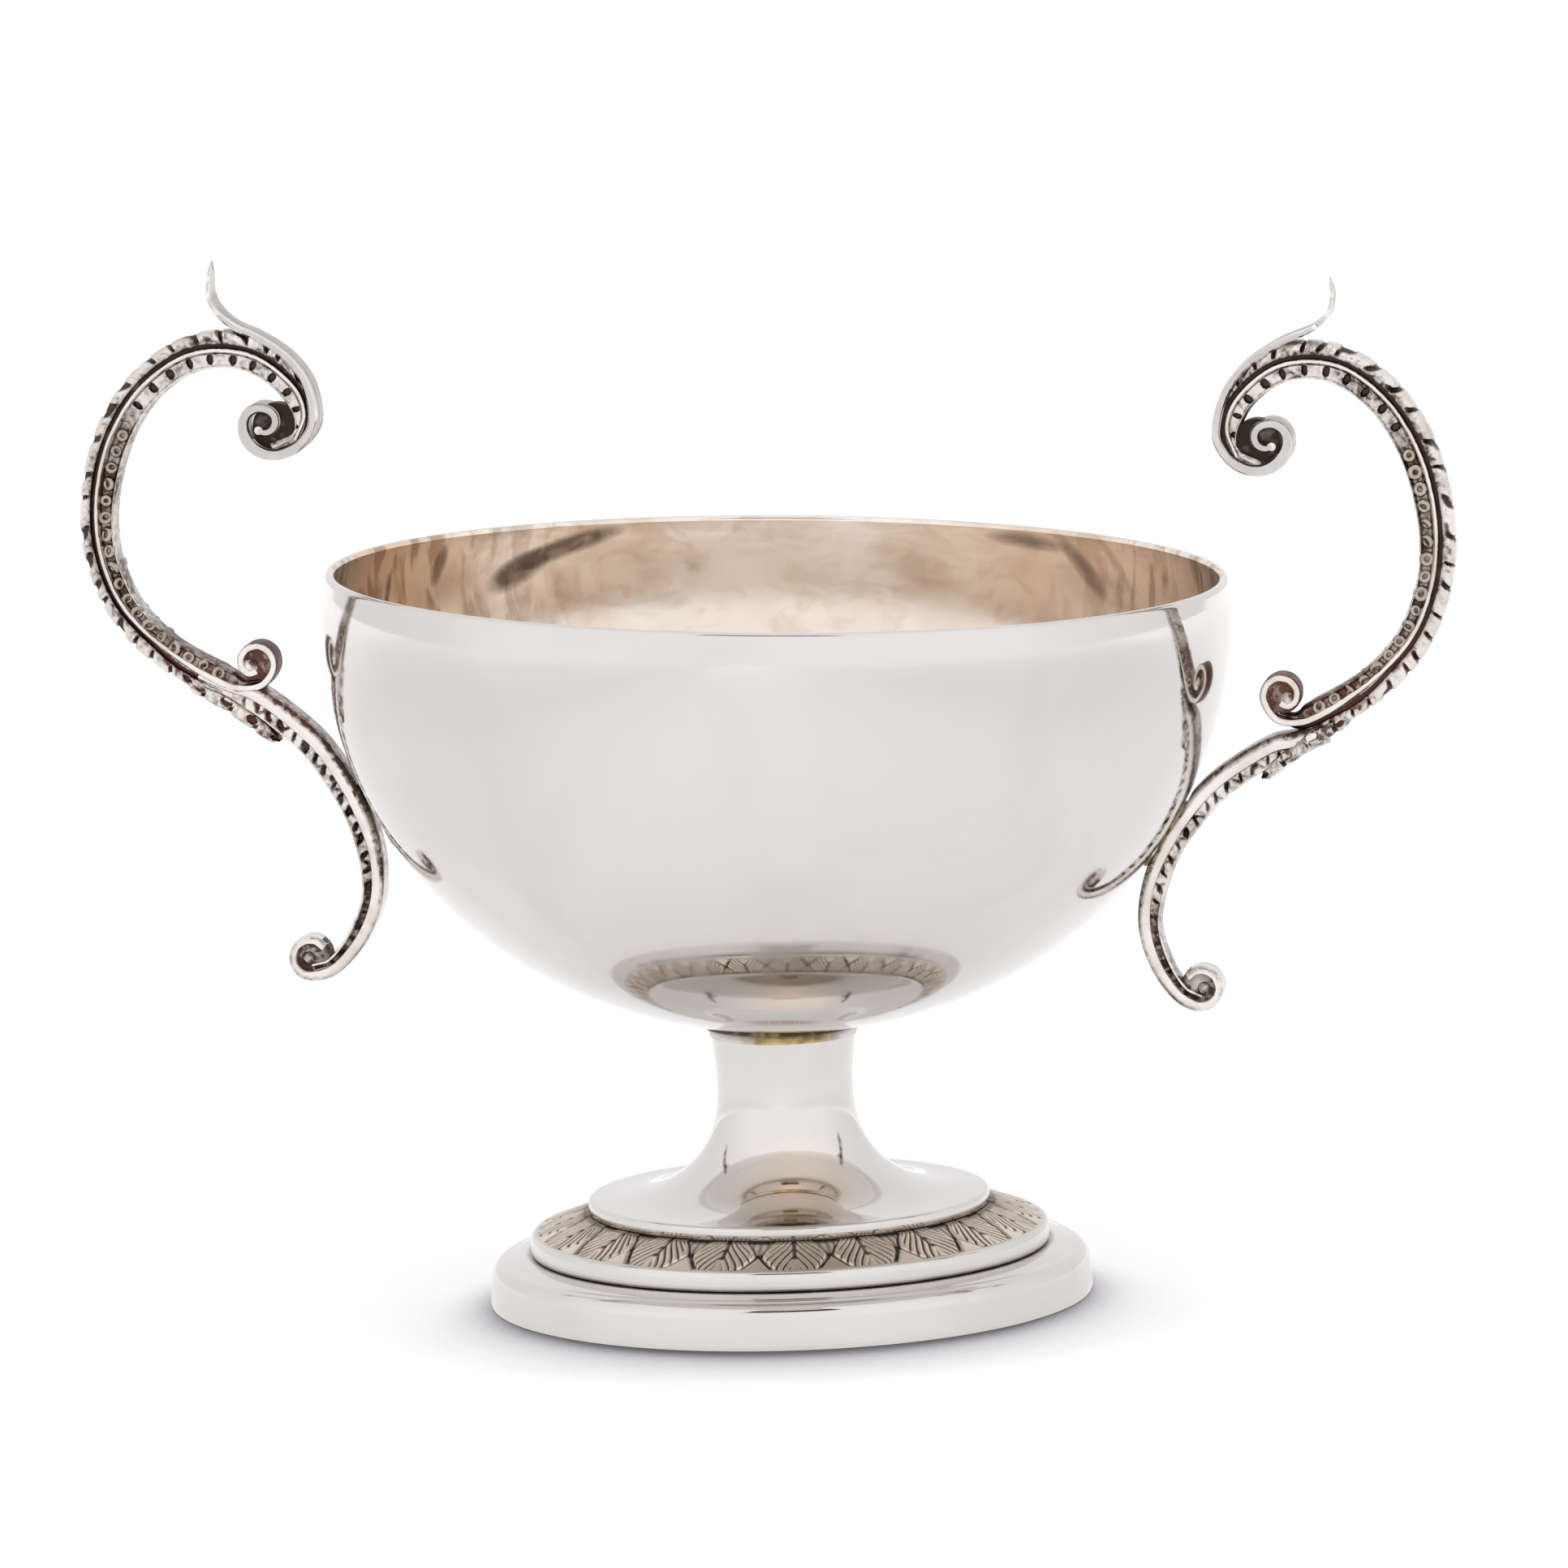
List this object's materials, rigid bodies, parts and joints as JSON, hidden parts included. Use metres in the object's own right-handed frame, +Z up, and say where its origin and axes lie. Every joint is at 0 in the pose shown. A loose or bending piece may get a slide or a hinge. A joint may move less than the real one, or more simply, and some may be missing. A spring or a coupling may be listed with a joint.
{
  "type": "tazza",
  "caption": "Footed cup with a deep round bowl, a trumpet stem, a stepped round foot with a leaf border and tall scroll handles that rise above the rim.",
  "frame": {"origin": "middle of the foot, on the surface that it stands on", "axes": "+X towards the right handle as the front is seen, +Y away from the viewer, +Z up"},
  "size_m": [0.1975, 0.13, 0.1507],
  "materials": {
    "polished_silver": "polished silver, lightly worn",
    "cast_silver": "cast and chased silver, dark in the recesses",
    "chased_silver": "chased silver with oxidised recesses",
    "solder": "dull yellowish solder"
  },
  "bodies": {
    "root": {"base_ring": "polished_silver", "moulding_wire": "polished_silver", "leaf_frieze": "chased_silver", "stem_and_plate": "polished_silver", "stem_solder_seam": "solder", "bowl": "polished_silver", "left_large_scroll": "cast_silver", "left_ribbon_and_thumb_leaf": "polished_silver", "left_lower_scroll": "cast_silver", "left_junction_leaf": "chased_silver", "left_solder_pad": "solder", "right_large_scroll": "cast_silver", "right_ribbon_and_thumb_leaf": "polished_silver", "right_lower_scroll": "cast_silver", "right_junction_leaf": "chased_silver", "right_solder_pad": "solder"}
  },
  "joints": []
}
